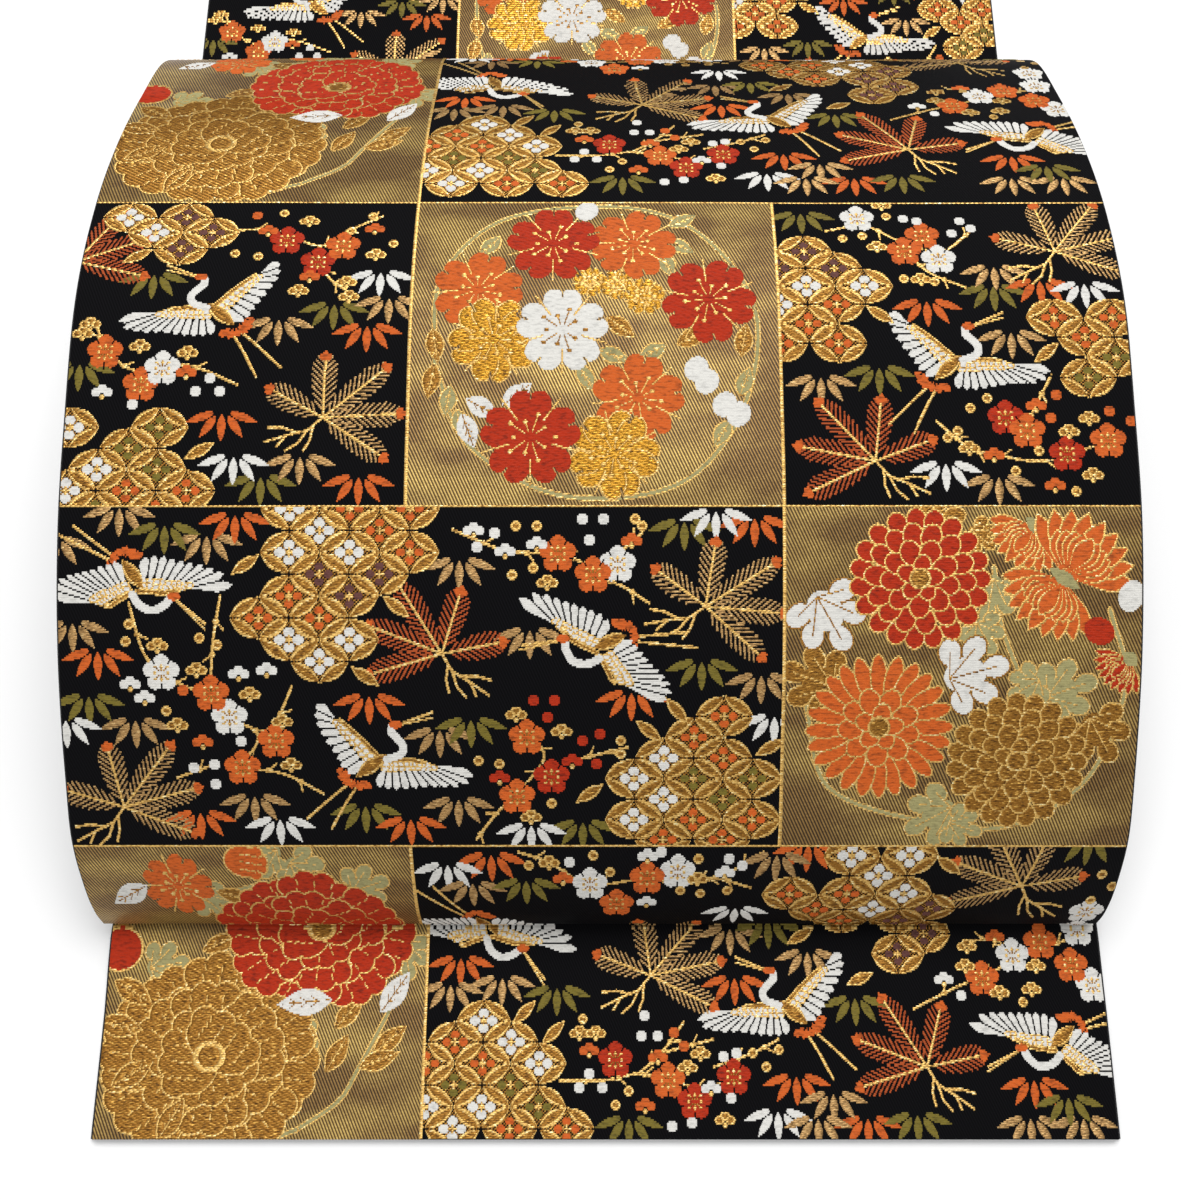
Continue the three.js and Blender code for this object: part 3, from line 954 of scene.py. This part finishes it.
# How much of the pattern has gone by, counted from the bottom of its first row, at some distances
# along the cloth. It is drawn in round the turns.
PATTERN_AT = [
    (0, 5.5), (61.6, 70.0), (76.2, 73.0), (112.6, 104.0), (211.8, 208.0), (311.0, 312.0),
    (339.8, 342.0), (371.8, 374.0), (402.6, 405.0), (534.0, 552.0), (563.8, 584.5),
    (600.0, 621.0), (4400.0, 4421.0),
]
WOVEN_ROW = 104.0
ORDER = "ACB"


def pattern_of(along):
    return np.interp(along, *zip(*PATTERN_AT))


def along_of(pattern):
    return np.interp(pattern, *list(zip(*PATTERN_AT))[::-1])


def row_lines(start, end):
    """Where the borders between pattern rows come in a stretch of cloth."""
    borders = along_of(np.arange(0, pattern_of(end) + WOVEN_ROW, WOVEN_ROW))
    return [border for border in borders if start < border < end]


def on_gold(u, along):
    """Whether the ground is gold: one panel to each row, a column further over in each."""
    row = (pattern_of(along) // WOVEN_ROW).astype(int) % 3
    column = (u > LEFT_COLUMN).astype(int) + (u > RIGHT_COLUMN)
    return column == np.array([0, 2, 1])[row]


# ---- meshes ----

BAKE_SHARE, BAKE_EDGE = 0.98, 0.01  # of the bake map that is used, and the margin round it
SHARP_FOLD = 50  # degrees


def new_object(name, points, faces, cloth_uv, materials, picks):
    """A mesh piece with a map of where each corner lies on the cloth, in metres, and a bake map."""
    sizes = np.array([len(group[0]) for group in faces for _ in range(len(group))])
    corners = np.concatenate([group.ravel() for group in faces]).astype(np.int32)
    mesh = bpy.data.meshes.new(name)
    mesh.vertices.add(len(points))
    mesh.vertices.foreach_set("co", points.ravel().astype(np.float32))
    mesh.loops.add(len(corners))
    mesh.loops.foreach_set("vertex_index", corners)
    mesh.polygons.add(len(sizes))
    starts = np.concatenate([[0], np.cumsum(sizes)[:-1]]).astype(np.int32)
    mesh.polygons.foreach_set("loop_start", starts)
    mesh.polygons.foreach_set("material_index", np.asarray(picks, np.int32))
    mesh.polygons.foreach_set("use_smooth", np.ones(len(sizes), bool))
    low, high = cloth_uv.min(axis=0), cloth_uv.max(axis=0)
    maps = {"cloth": cloth_uv, "OFBake": (cloth_uv - low) / (high - low) * BAKE_SHARE + BAKE_EDGE}
    for map_name, values in maps.items():
        layer = mesh.uv_layers.new(name=map_name)
        layer.uv.foreach_set("vector", values[corners].ravel().astype(np.float32))
    for material in materials:
        mesh.materials.append(material)
    mesh.update(calc_edges=True)
    mesh.validate()
    made = bpy.data.objects.new(name, mesh)
    bpy.context.scene.collection.objects.link(made)
    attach(made, "root")
    return made


def spaced(marks, step):
    """The marks in order, with even steps between them."""
    marks = sorted(set(round(mark, 4) for mark in marks))
    line = [marks[0]]
    for a, b in zip(marks, marks[1:]):
        count = max(1, math.ceil((b - a) / step - 1e-6))
        line.extend(a + (b - a) * (k + 1) / count for k in range(count))
    return np.array(line)


def slab(name, marks, width, inner, outer, steps, materials, gold=False):
    """A closed sheet of cloth from the first to the last mark along it."""
    start, end = min(marks), max(marks)
    marks = [*marks, *lie.along[(lie.along > start) & (lie.along < end)]]
    edges = [-width / 2, width / 2]
    if gold:
        marks += row_lines(start, end)
        edges += [LEFT_COLUMN, RIGHT_COLUMN]
    along, across = spaced(marks, steps[0]), spaced(edges, steps[1])
    rows, columns = len(along), len(across)
    u, a = np.meshgrid(across, along)
    high, low = max(inner, outer), min(inner, outer)
    points = np.concatenate([on_cloth(u, a, high).reshape(-1, 3), on_cloth(u, a, low).reshape(-1, 3)])
    index = np.arange(rows * columns).reshape(rows, columns)
    under = index + rows * columns
    quads = np.stack([index[:-1, :-1], index[:-1, 1:], index[1:, 1:], index[1:, :-1]], axis=-1)
    top = quads.reshape(-1, 4)
    bottom = (quads + rows * columns)[..., ::-1].reshape(-1, 4)
    rim = np.concatenate([index[0], index[1:, -1], index[-1, -2::-1], index[-2:0:-1, 0]])
    rim_under = rim + rows * columns
    ahead, ahead_under = np.roll(rim, -1), np.roll(rim_under, -1)
    sides = np.stack([ahead, rim, rim_under, ahead_under], axis=-1)
    faces = np.concatenate([top, bottom, sides])
    flat = np.stack([u, a], axis=-1).reshape(-1, 2) * MM
    picks = np.zeros(len(faces), int)
    if gold:
        middle_u = (u[:-1, :-1] + u[1:, 1:]) / 2
        middle_a = (a[:-1, :-1] + a[1:, 1:]) / 2
        panel = on_gold(middle_u, middle_a).ravel()
        picks[:2 * len(top)] = np.concatenate([panel, panel])
    made = new_object(name, points, [faces], np.concatenate([flat, flat]), materials, picks)
    made.data.set_sharp_from_angle(angle=math.radians(SHARP_FOLD))
    return made


# ---- wefts ----

FLOAT_BASE = FACE_OUTER + 0.02
FLOAT_RIDGE = FACE_OUTER + 0.22
FLOAT_LENGTH = {GOLD: 2.1, BRIGHT: 1.4, FOIL: 3.0, PALE_GOLD: 3.0}
SILK_LENGTH = 2.7
SHORTEST = 0.7
STAGGER = 0.382  # how far the binding shifts from weft to weft, as a share of the float
FLOAT_SLOPE, FLOAT_SLOPE_SHARE = 0.16, 0.35  # how far in a float's ridge starts, and at most


def runs(threads, every):
    """Each weft's runs of one thread: chart line, first and last crossing, thread."""
    lines = threads[every // 2::every]
    padded = np.pad(lines, ((0, 0), (1, 1)))
    line, place = np.nonzero(np.diff(padded.astype(np.int16), axis=1))
    same = line[1:] == line[:-1]
    line, first, last = line[:-1][same], place[:-1][same], place[1:][same]
    thread = lines[line, first]
    lit = thread > 0
    return line[lit] * every + every // 2, first[lit], last[lit], thread[lit]


def floats(threads, every):
    """The runs bound down at staggered places: arrays of chart line, u from, u to and thread."""
    line, first, last, thread = runs(threads, every)
    start = first * STEP - WIDTH / 2
    end = last * STEP - WIDTH / 2
    length = np.full(thread.shape, SILK_LENGTH)
    for kind, size in FLOAT_LENGTH.items():
        length[thread == kind] = size
    shift = (line * STAGGER % 1) * length
    last_cut = np.floor((end - SHORTEST - shift) / length)
    first_cut = np.ceil((start + SHORTEST - shift) / length)
    count = np.maximum(last_cut - first_cut + 2, 1).astype(int)
    which = np.repeat(np.arange(len(line)), count)
    nth = np.arange(len(which)) - np.repeat(np.cumsum(count) - count, count)
    cut = shift[which] + (first_cut[which] + nth - 1) * length[which]
    begin = np.where(nth == 0, start[which], cut)
    stop = np.where(nth == count[which] - 1, end[which], cut + length[which])
    return line[which], begin, stop, thread[which]


def float_piece(name, wefts, threads, materials):
    """One piece of all the floats whose thread is among those given."""
    low, high, begin, stop, thread = wefts
    keep = np.isin(thread, threads)
    low, high, begin, stop, thread = low[keep], high[keep], begin[keep], stop[keep], thread[keep]
    middle = (low + high) / 2
    inset = np.minimum(FLOAT_SLOPE, FLOAT_SLOPE_SHARE * (stop - begin))
    u = np.stack([begin, stop, stop, begin, begin + inset, stop - inset], axis=-1)
    along = np.stack([low, low, high, high, middle, middle], axis=-1)
    height = np.array([FLOAT_BASE] * 4 + [FLOAT_RIDGE] * 2)
    points = on_cloth(u, along, height).reshape(-1, 3)
    first = (np.arange(len(u)) * 6)[:, None]
    quads = np.concatenate([first + [0, 1, 5, 4], first + [2, 3, 4, 5]])
    ends = np.concatenate([first + [3, 0, 4], first + [1, 2, 5]])
    order = {kind: n for n, kind in enumerate(threads)}
    pick = np.array([order[kind] for kind in thread])
    flat = np.stack([u, along], axis=-1).reshape(-1, 2) * MM
    return new_object(name, points, [quads, ends], flat, materials, np.tile(pick, 4))


def woven(spans, every):
    """Every float within spans of the cloth: its two sides along it, its ends and its thread."""
    found = []
    for start, end in spans:
        first = int(pattern_of(start) // WOVEN_ROW)
        last = int(pattern_of(end) // WOVEN_ROW)
        for row in range(first, last + 1):
            line, begin, stop, thread = CHART_FLOATS[ORDER[row % 3], every]
            middle = (row + 1 - (line + 0.5) * PITCH / ROW) * WOVEN_ROW
            half = every * PITCH / ROW * WOVEN_ROW / 2
            keep = (along_of(middle) > start) & (along_of(middle) <= end)
            low, high = along_of(middle - half), along_of(middle + half)
            found.append([part[keep] for part in (low, high, begin, stop, thread)])
    return [np.concatenate(parts) for parts in zip(*found)]


# ---- materials ----

def srgb(red, green, blue):
    """A colour as seen on a screen, 0 to 255, as Blender's linear one."""
    share = np.array([red, green, blue]) / 255
    linear = np.where(share <= 0.04045, share / 12.92, ((share + 0.055) / 1.055) ** 2.4)
    return (*linear.tolist(), 1.0)


class Look:
    """A material whose nodes read where they are on the cloth, in metres."""

    def __init__(self, name, roughness, metallic=0.0, sheen=0.0, specular=0.5):
        self.material = bpy.data.materials.new(name)
        self.material.use_nodes = True
        self.nodes, self.links = self.material.node_tree.nodes, self.material.node_tree.links
        self.surface = self.nodes["Principled BSDF"]
        self.surface.inputs["Roughness"].default_value = roughness
        self.surface.inputs["Metallic"].default_value = metallic
        self.surface.inputs["Sheen Weight"].default_value = sheen
        self.surface.inputs["Sheen Roughness"].default_value = 0.5
        self.surface.inputs["Specular IOR Level"].default_value = specular
        self.cloth = self.node("ShaderNodeUVMap")
        self.cloth.uv_map = "cloth"

    def node(self, kind, **inputs):
        made = self.nodes.new(kind)
        for name, value in inputs.items():
            made.inputs[name.replace("_", " ")].default_value = value
        return made

    def join(self, source, target):
        self.links.new(source, target)

    def lines(self, pitch, degrees):
        """A smooth wave across the cloth, from -1 to 1, one ridge to each pitch in millimetres."""
        turns = 2 * math.pi / (pitch * MM)
        dot = self.node("ShaderNodeVectorMath")
        dot.operation = "DOT_PRODUCT"
        dot.inputs[1].default_value = (turns * math.cos(math.radians(degrees)),
                                       turns * math.sin(math.radians(degrees)), 0)
        self.join(self.cloth.outputs["UV"], dot.inputs[0])
        sine = self.node("ShaderNodeMath")
        sine.operation = "SINE"
        self.join(dot.outputs["Value"], sine.inputs[0])
        return sine.outputs[0]

    def noise(self, across, along, detail=2.0):
        """Noise with features of these sizes in millimetres."""
        scale = self.node("ShaderNodeVectorMath")
        scale.operation = "MULTIPLY"
        scale.inputs[1].default_value = (1 / (across * MM), 1 / (along * MM), 1)
        self.join(self.cloth.outputs["UV"], scale.inputs[0])
        made = self.node("ShaderNodeTexNoise", Scale=1.0, Detail=detail, Roughness=0.55)
        self.join(scale.outputs["Vector"], made.inputs["Vector"])
        return made.outputs["Fac"]

    def ramp(self, source, stops):
        """Colours by value: pairs of a place from 0 to 1 and a colour."""
        made = self.node("ShaderNodeValToRGB")
        points = made.color_ramp.elements
        while len(points) < len(stops):
            points.new(0.5)
        for point, (place, colour) in zip(points, stops):
            point.position = place
            point.color = colour
        self.join(source, made.inputs["Fac"])
        return made.outputs["Color"]

    def remap(self, source, low, high, to_low=0.0, to_high=1.0):
        made = self.node("ShaderNodeMapRange")
        ends = {"From Min": low, "From Max": high, "To Min": to_low, "To Max": to_high}
        for name, value in ends.items():
            made.inputs[name].default_value = value
        self.join(source, made.inputs["Value"])
        return made.outputs["Result"]

    def blend(self, kind, first, second, share):
        made = self.node("ShaderNodeMix")
        made.data_type = "RGBA"
        made.blend_type = kind
        for value, socket in ((share, "Factor_Float"), (first, "A_Color"), (second, "B_Color")):
            target = next(s for s in made.inputs if s.identifier == socket)
            if isinstance(value, bpy.types.NodeSocket):
                self.join(value, target)
            else:
                target.default_value = value
        return next(s for s in made.outputs if s.identifier == "Result_Color")

    def colour(self, source):
        self.join(source, self.surface.inputs["Base Color"])

    def bump(self, source, height):
        """Relief of a height in millimetres."""
        made = self.node("ShaderNodeBump", Strength=1.0, Distance=height * MM)
        self.join(source, made.inputs["Height"])
        self.join(made.outputs["Normal"], self.surface.inputs["Normal"])


def black_ground():
    """Black satin with a fine steep twill."""
    look = Look("black_ground", roughness=0.75, specular=0.06)
    twill = look.remap(look.lines(0.78, 24), -1, 1)
    wear = look.remap(look.noise(9, 6), 0.3, 0.7)
    line = look.ramp(twill, [(0.0, srgb(3, 3, 4)), (1.0, srgb(16, 15, 18))])
    look.colour(look.blend("MIX", line, srgb(9, 9, 11), look.remap(wear, 0, 1, 0.1, 0.5)))
    look.bump(twill, 0.05)
    return look.material


def gold_ground():
    """Flat gold thread bound by dark warps in a steep twill, with painted sheen: lit, brighter colours in
    large patches.
    """
    look = Look("gold_ground", roughness=0.46, metallic=0.55)
    twill = look.remap(look.lines(0.86, 25), -0.8, 0.9)
    # patch mixes the twill from its dull colours to its lit ones: painted sheen in large patches
    patch = look.remap(look.noise(34, 16, 3), 0.42, 0.66)
    grain = look.remap(look.noise(1.4, 0.5), 0.3, 0.7)
    dull = look.ramp(twill, [
        (0.0, srgb(62, 45, 24)), (0.45, srgb(118, 88, 47)), (1.0, srgb(170, 134, 76)),
    ])
    lit = look.ramp(twill, [
        (0.0, srgb(90, 68, 34)), (0.45, srgb(168, 135, 72)), (1.0, srgb(232, 200, 118)),
    ])
    both = look.blend("MIX", dull, lit, patch)
    worn = look.ramp(grain, [(0.0, srgb(205, 200, 190)), (1.0, srgb(255, 255, 255))])
    look.colour(look.blend("MULTIPLY", both, worn, 1.0))
    look.bump(twill, 0.06)
    return look.material


def back_cloth():
    """Plain black twill lining."""
    look = Look("back_cloth", roughness=0.75, sheen=0.1)
    twill = look.remap(look.lines(0.6, 45), -1, 1)
    look.colour(look.ramp(twill, [(0.0, srgb(12, 12, 14)), (1.0, srgb(28, 28, 31))]))
    look.bump(twill, 0.05)
    return look.material


def silk(name, colour, shade=0.66):
    """Floss of one colour, its filaments lying across the cloth."""
    look = Look(name, roughness=0.55, sheen=0.02, specular=0.18)
    # strand streaks the floss from its colour down to dark, the colour times shade squared: partly the
    # filaments' own tone, partly painted shade between the wefts
    strand = look.remap(look.noise(2.4, 0.8), 0.32, 0.68)
    patch = look.remap(look.noise(14, 5), 0.35, 0.65)
    dark = tuple(channel * shade**2 for channel in colour[:3]) + (1.0,)
    floss = look.ramp(strand, [(0.0, dark), (0.55, colour)])
    soft = tuple(min(1.0, channel * 1.12) for channel in colour[:3]) + (1.0,)
    look.colour(look.blend("MIX", floss, soft, look.remap(patch, 0, 1, 0.0, 0.35)))
    look.bump(look.noise(2.0, 0.12), 0.03)
    return look.material


def metal(name, dark, usual, glint, roughness):
    """Gold thread: foil wound on a core, its colour painted in specks of highlight and shade."""
    look = Look(name, roughness=roughness, metallic=0.72)
    speck = look.noise(1.9, 0.5, 1.0)
    # the speck noise runs from dark through usual to glint: the glints are painted highlights, the dark
    # specks painted shade between the threads
    look.colour(look.ramp(speck, [(0.30, dark), (0.47, usual), (0.60, usual), (0.72, glint)]))
    look.bump(look.noise(0.5, 0.25), 0.05)
    return look.material


def thread_materials():
    return {
        GOLD: metal("amber_gold_thread", srgb(84, 52, 14), srgb(154, 106, 36), srgb(240, 190, 96), 0.4),
        BRIGHT: metal("bright_gold_cord", srgb(140, 98, 40), srgb(224, 182, 102), srgb(255, 244, 190), 0.36),
        FOIL: metal("yellow_gold_foil", srgb(86, 54, 12), srgb(192, 138, 36), srgb(250, 210, 96), 0.3),
        ORANGE: silk("orange_silk", srgb(208, 98, 34)),
        RED: silk("red_silk", srgb(180, 46, 10)),
        RUST: silk("rust_silk", srgb(176, 80, 34)),
        WHITE: silk("white_silk", srgb(222, 220, 214), 0.86),
        PALE: silk("pale_green_silk", srgb(166, 158, 108), 0.8),
        OLIVE: silk("olive_silk", srgb(122, 108, 40)),
        MAUVE: silk("mauve_silk", srgb(104, 64, 58)),
        PALE_GOLD: metal("pale_gold_thread", srgb(110, 82, 46), srgb(178, 140, 88),
                         srgb(222, 190, 132), 0.42),
    }


# ---- the sash ----

FINE, COARSE, COARSEST = 1, 2, 3  # chart lines to each weft
TOP_LAYER = lie.total - 276.0  # where the stack's top layer begins
FACING_DRUM = -0.4  # the face's lean in y where a fold of the stack is in sight from the drum
APART = 50.0  # any further along the cloth is another fold


def near_folds():
    """Where the brocade shows on the stack's folds towards the drum."""
    along = lie.along[lie.along > lie.starts["stack"] + 1]
    shown = along[lie.at(along)[2] < FACING_DRUM]
    folds = np.split(shown, np.nonzero(np.diff(shown) > APART)[0] + 1)
    return [(fold[0], fold[-1]) for fold in folds]


STRETCHES = {  # where the brocade shows, in distances along, and how fine its wefts are
    "tail": ([(0.4, 66.0)], FINE),
    "drum_front": ([(74.0, 211.8)], FINE),
    "drum_top": ([(211.8, 372.0)], FINE),
    "drum_behind": ([(372.0, 474.0)], COARSE),
    "strip": ([(482.0, 598.0)], COARSE),
    "stack_folds": (near_folds(), FINE),
    "stack_top": ([(TOP_LAYER, lie.total - 1.0)], COARSEST),
}


def build_cloth():
    """Face and back of each stretch, each a thin closed sheet."""
    face = [black_ground(), gold_ground()]
    back = [back_cloth()]
    names = list(PARTS)
    sheets = {}
    for name, following in zip(names, names[1:] + [None]):
        marks = [lie.starts[name], lie.starts[following] if following else lie.total]
        steps = (3.8, 5.4)
        if name == "stack":
            marks += list(np.arange(TOP_LAYER, lie.total, 10))
            steps = (60, 14)
        sheets[name + "_face"] = slab(name + "_brocade", marks, FACE_WIDTH, FACE_INNER, FACE_OUTER,
                                      steps, face, gold=True)
        sheets[name + "_back"] = slab(name + "_lining", marks, BACK_WIDTH, BACK_INNER, BACK_OUTER,
                                      (2 * steps[0], 2 * steps[1]), back)
    return sheets


def dress(name, spans, every, looks):
    """The figured wefts on one stretch, by kind of thread."""
    wefts = woven(spans, every)
    made = []
    for kind, threads in THREAD_GROUPS.items():
        piece = float_piece(f"{name}_{kind}", wefts, threads, [looks[thread] for thread in threads])
        made.append(piece)
    return made


THREAD_GROUPS = {
    "gold_wefts": [GOLD, BRIGHT, FOIL, PALE_GOLD],
    "warm_wefts": [ORANGE, RED, RUST],
    "pale_wefts": [WHITE, PALE, OLIVE, MAUVE],
}
CHARTS = {"A": row_a(), "B": row_b(), "C": row_c()}
CHART_FLOATS = {(name, every): floats(chart.threads, every)
                for name, chart in CHARTS.items() for every in (FINE, COARSE, COARSEST)}

sheets = build_cloth()
looks = thread_materials()
wefts = {name: dress(name, *facts, looks) for name, facts in STRETCHES.items()}

for name, piece in sheets.items():
    if name.startswith("stack"):
        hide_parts("folded_length")
    else:
        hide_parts(name)


# ---- table and light ----

def add_floor():
    look = bpy.data.materials.new("table")
    look.use_nodes = True
    surface = look.node_tree.nodes["Principled BSDF"]
    surface.inputs["Base Color"].default_value = (1.0, 1.0, 1.0, 1)
    surface.inputs["Roughness"].default_value = 0.8
    mesh = bpy.data.meshes.new("table")
    half = 4.0
    corners = [(-half, -half, 0), (half, -half, 0), (half, half, 0), (-half, half, 0)]
    mesh.from_pydata(corners, [], [(0, 1, 2, 3)])
    mesh.materials.append(look)
    floor = bpy.data.objects.new("table", mesh)
    floor.location.z = -0.0002
    bpy.context.scene.collection.objects.link(floor)


def add_lamp(name, place, aim, size, watts):
    data = bpy.data.lights.new(name, "AREA")
    data.shape = "RECTANGLE"
    data.size, data.size_y = size
    data.energy = watts
    lamp = bpy.data.objects.new(name, data)
    lamp.location = place
    lamp.rotation_euler = (Vector(aim) - Vector(place)).to_track_quat("-Z", "Y").to_euler()
    bpy.context.scene.collection.objects.link(lamp)


def light():
    add_lamp("overhead", (0.15, 0.6, 1.5), (0, 0, 0), (1.3, 0.9), 20.5)
    add_lamp("fill", (-0.5, -1.1, 1.1), (0, -0.1, 0), (1.2, 0.8), 3.5)
    world = bpy.data.worlds.new("room")
    world.use_nodes = True
    world.node_tree.nodes["Background"].inputs["Color"].default_value = (1, 1, 1, 1)
    world.node_tree.nodes["Background"].inputs["Strength"].default_value = 0.5
    bpy.context.scene.world = world
    bpy.context.scene.view_settings.view_transform = "Standard"


add_floor()
light()
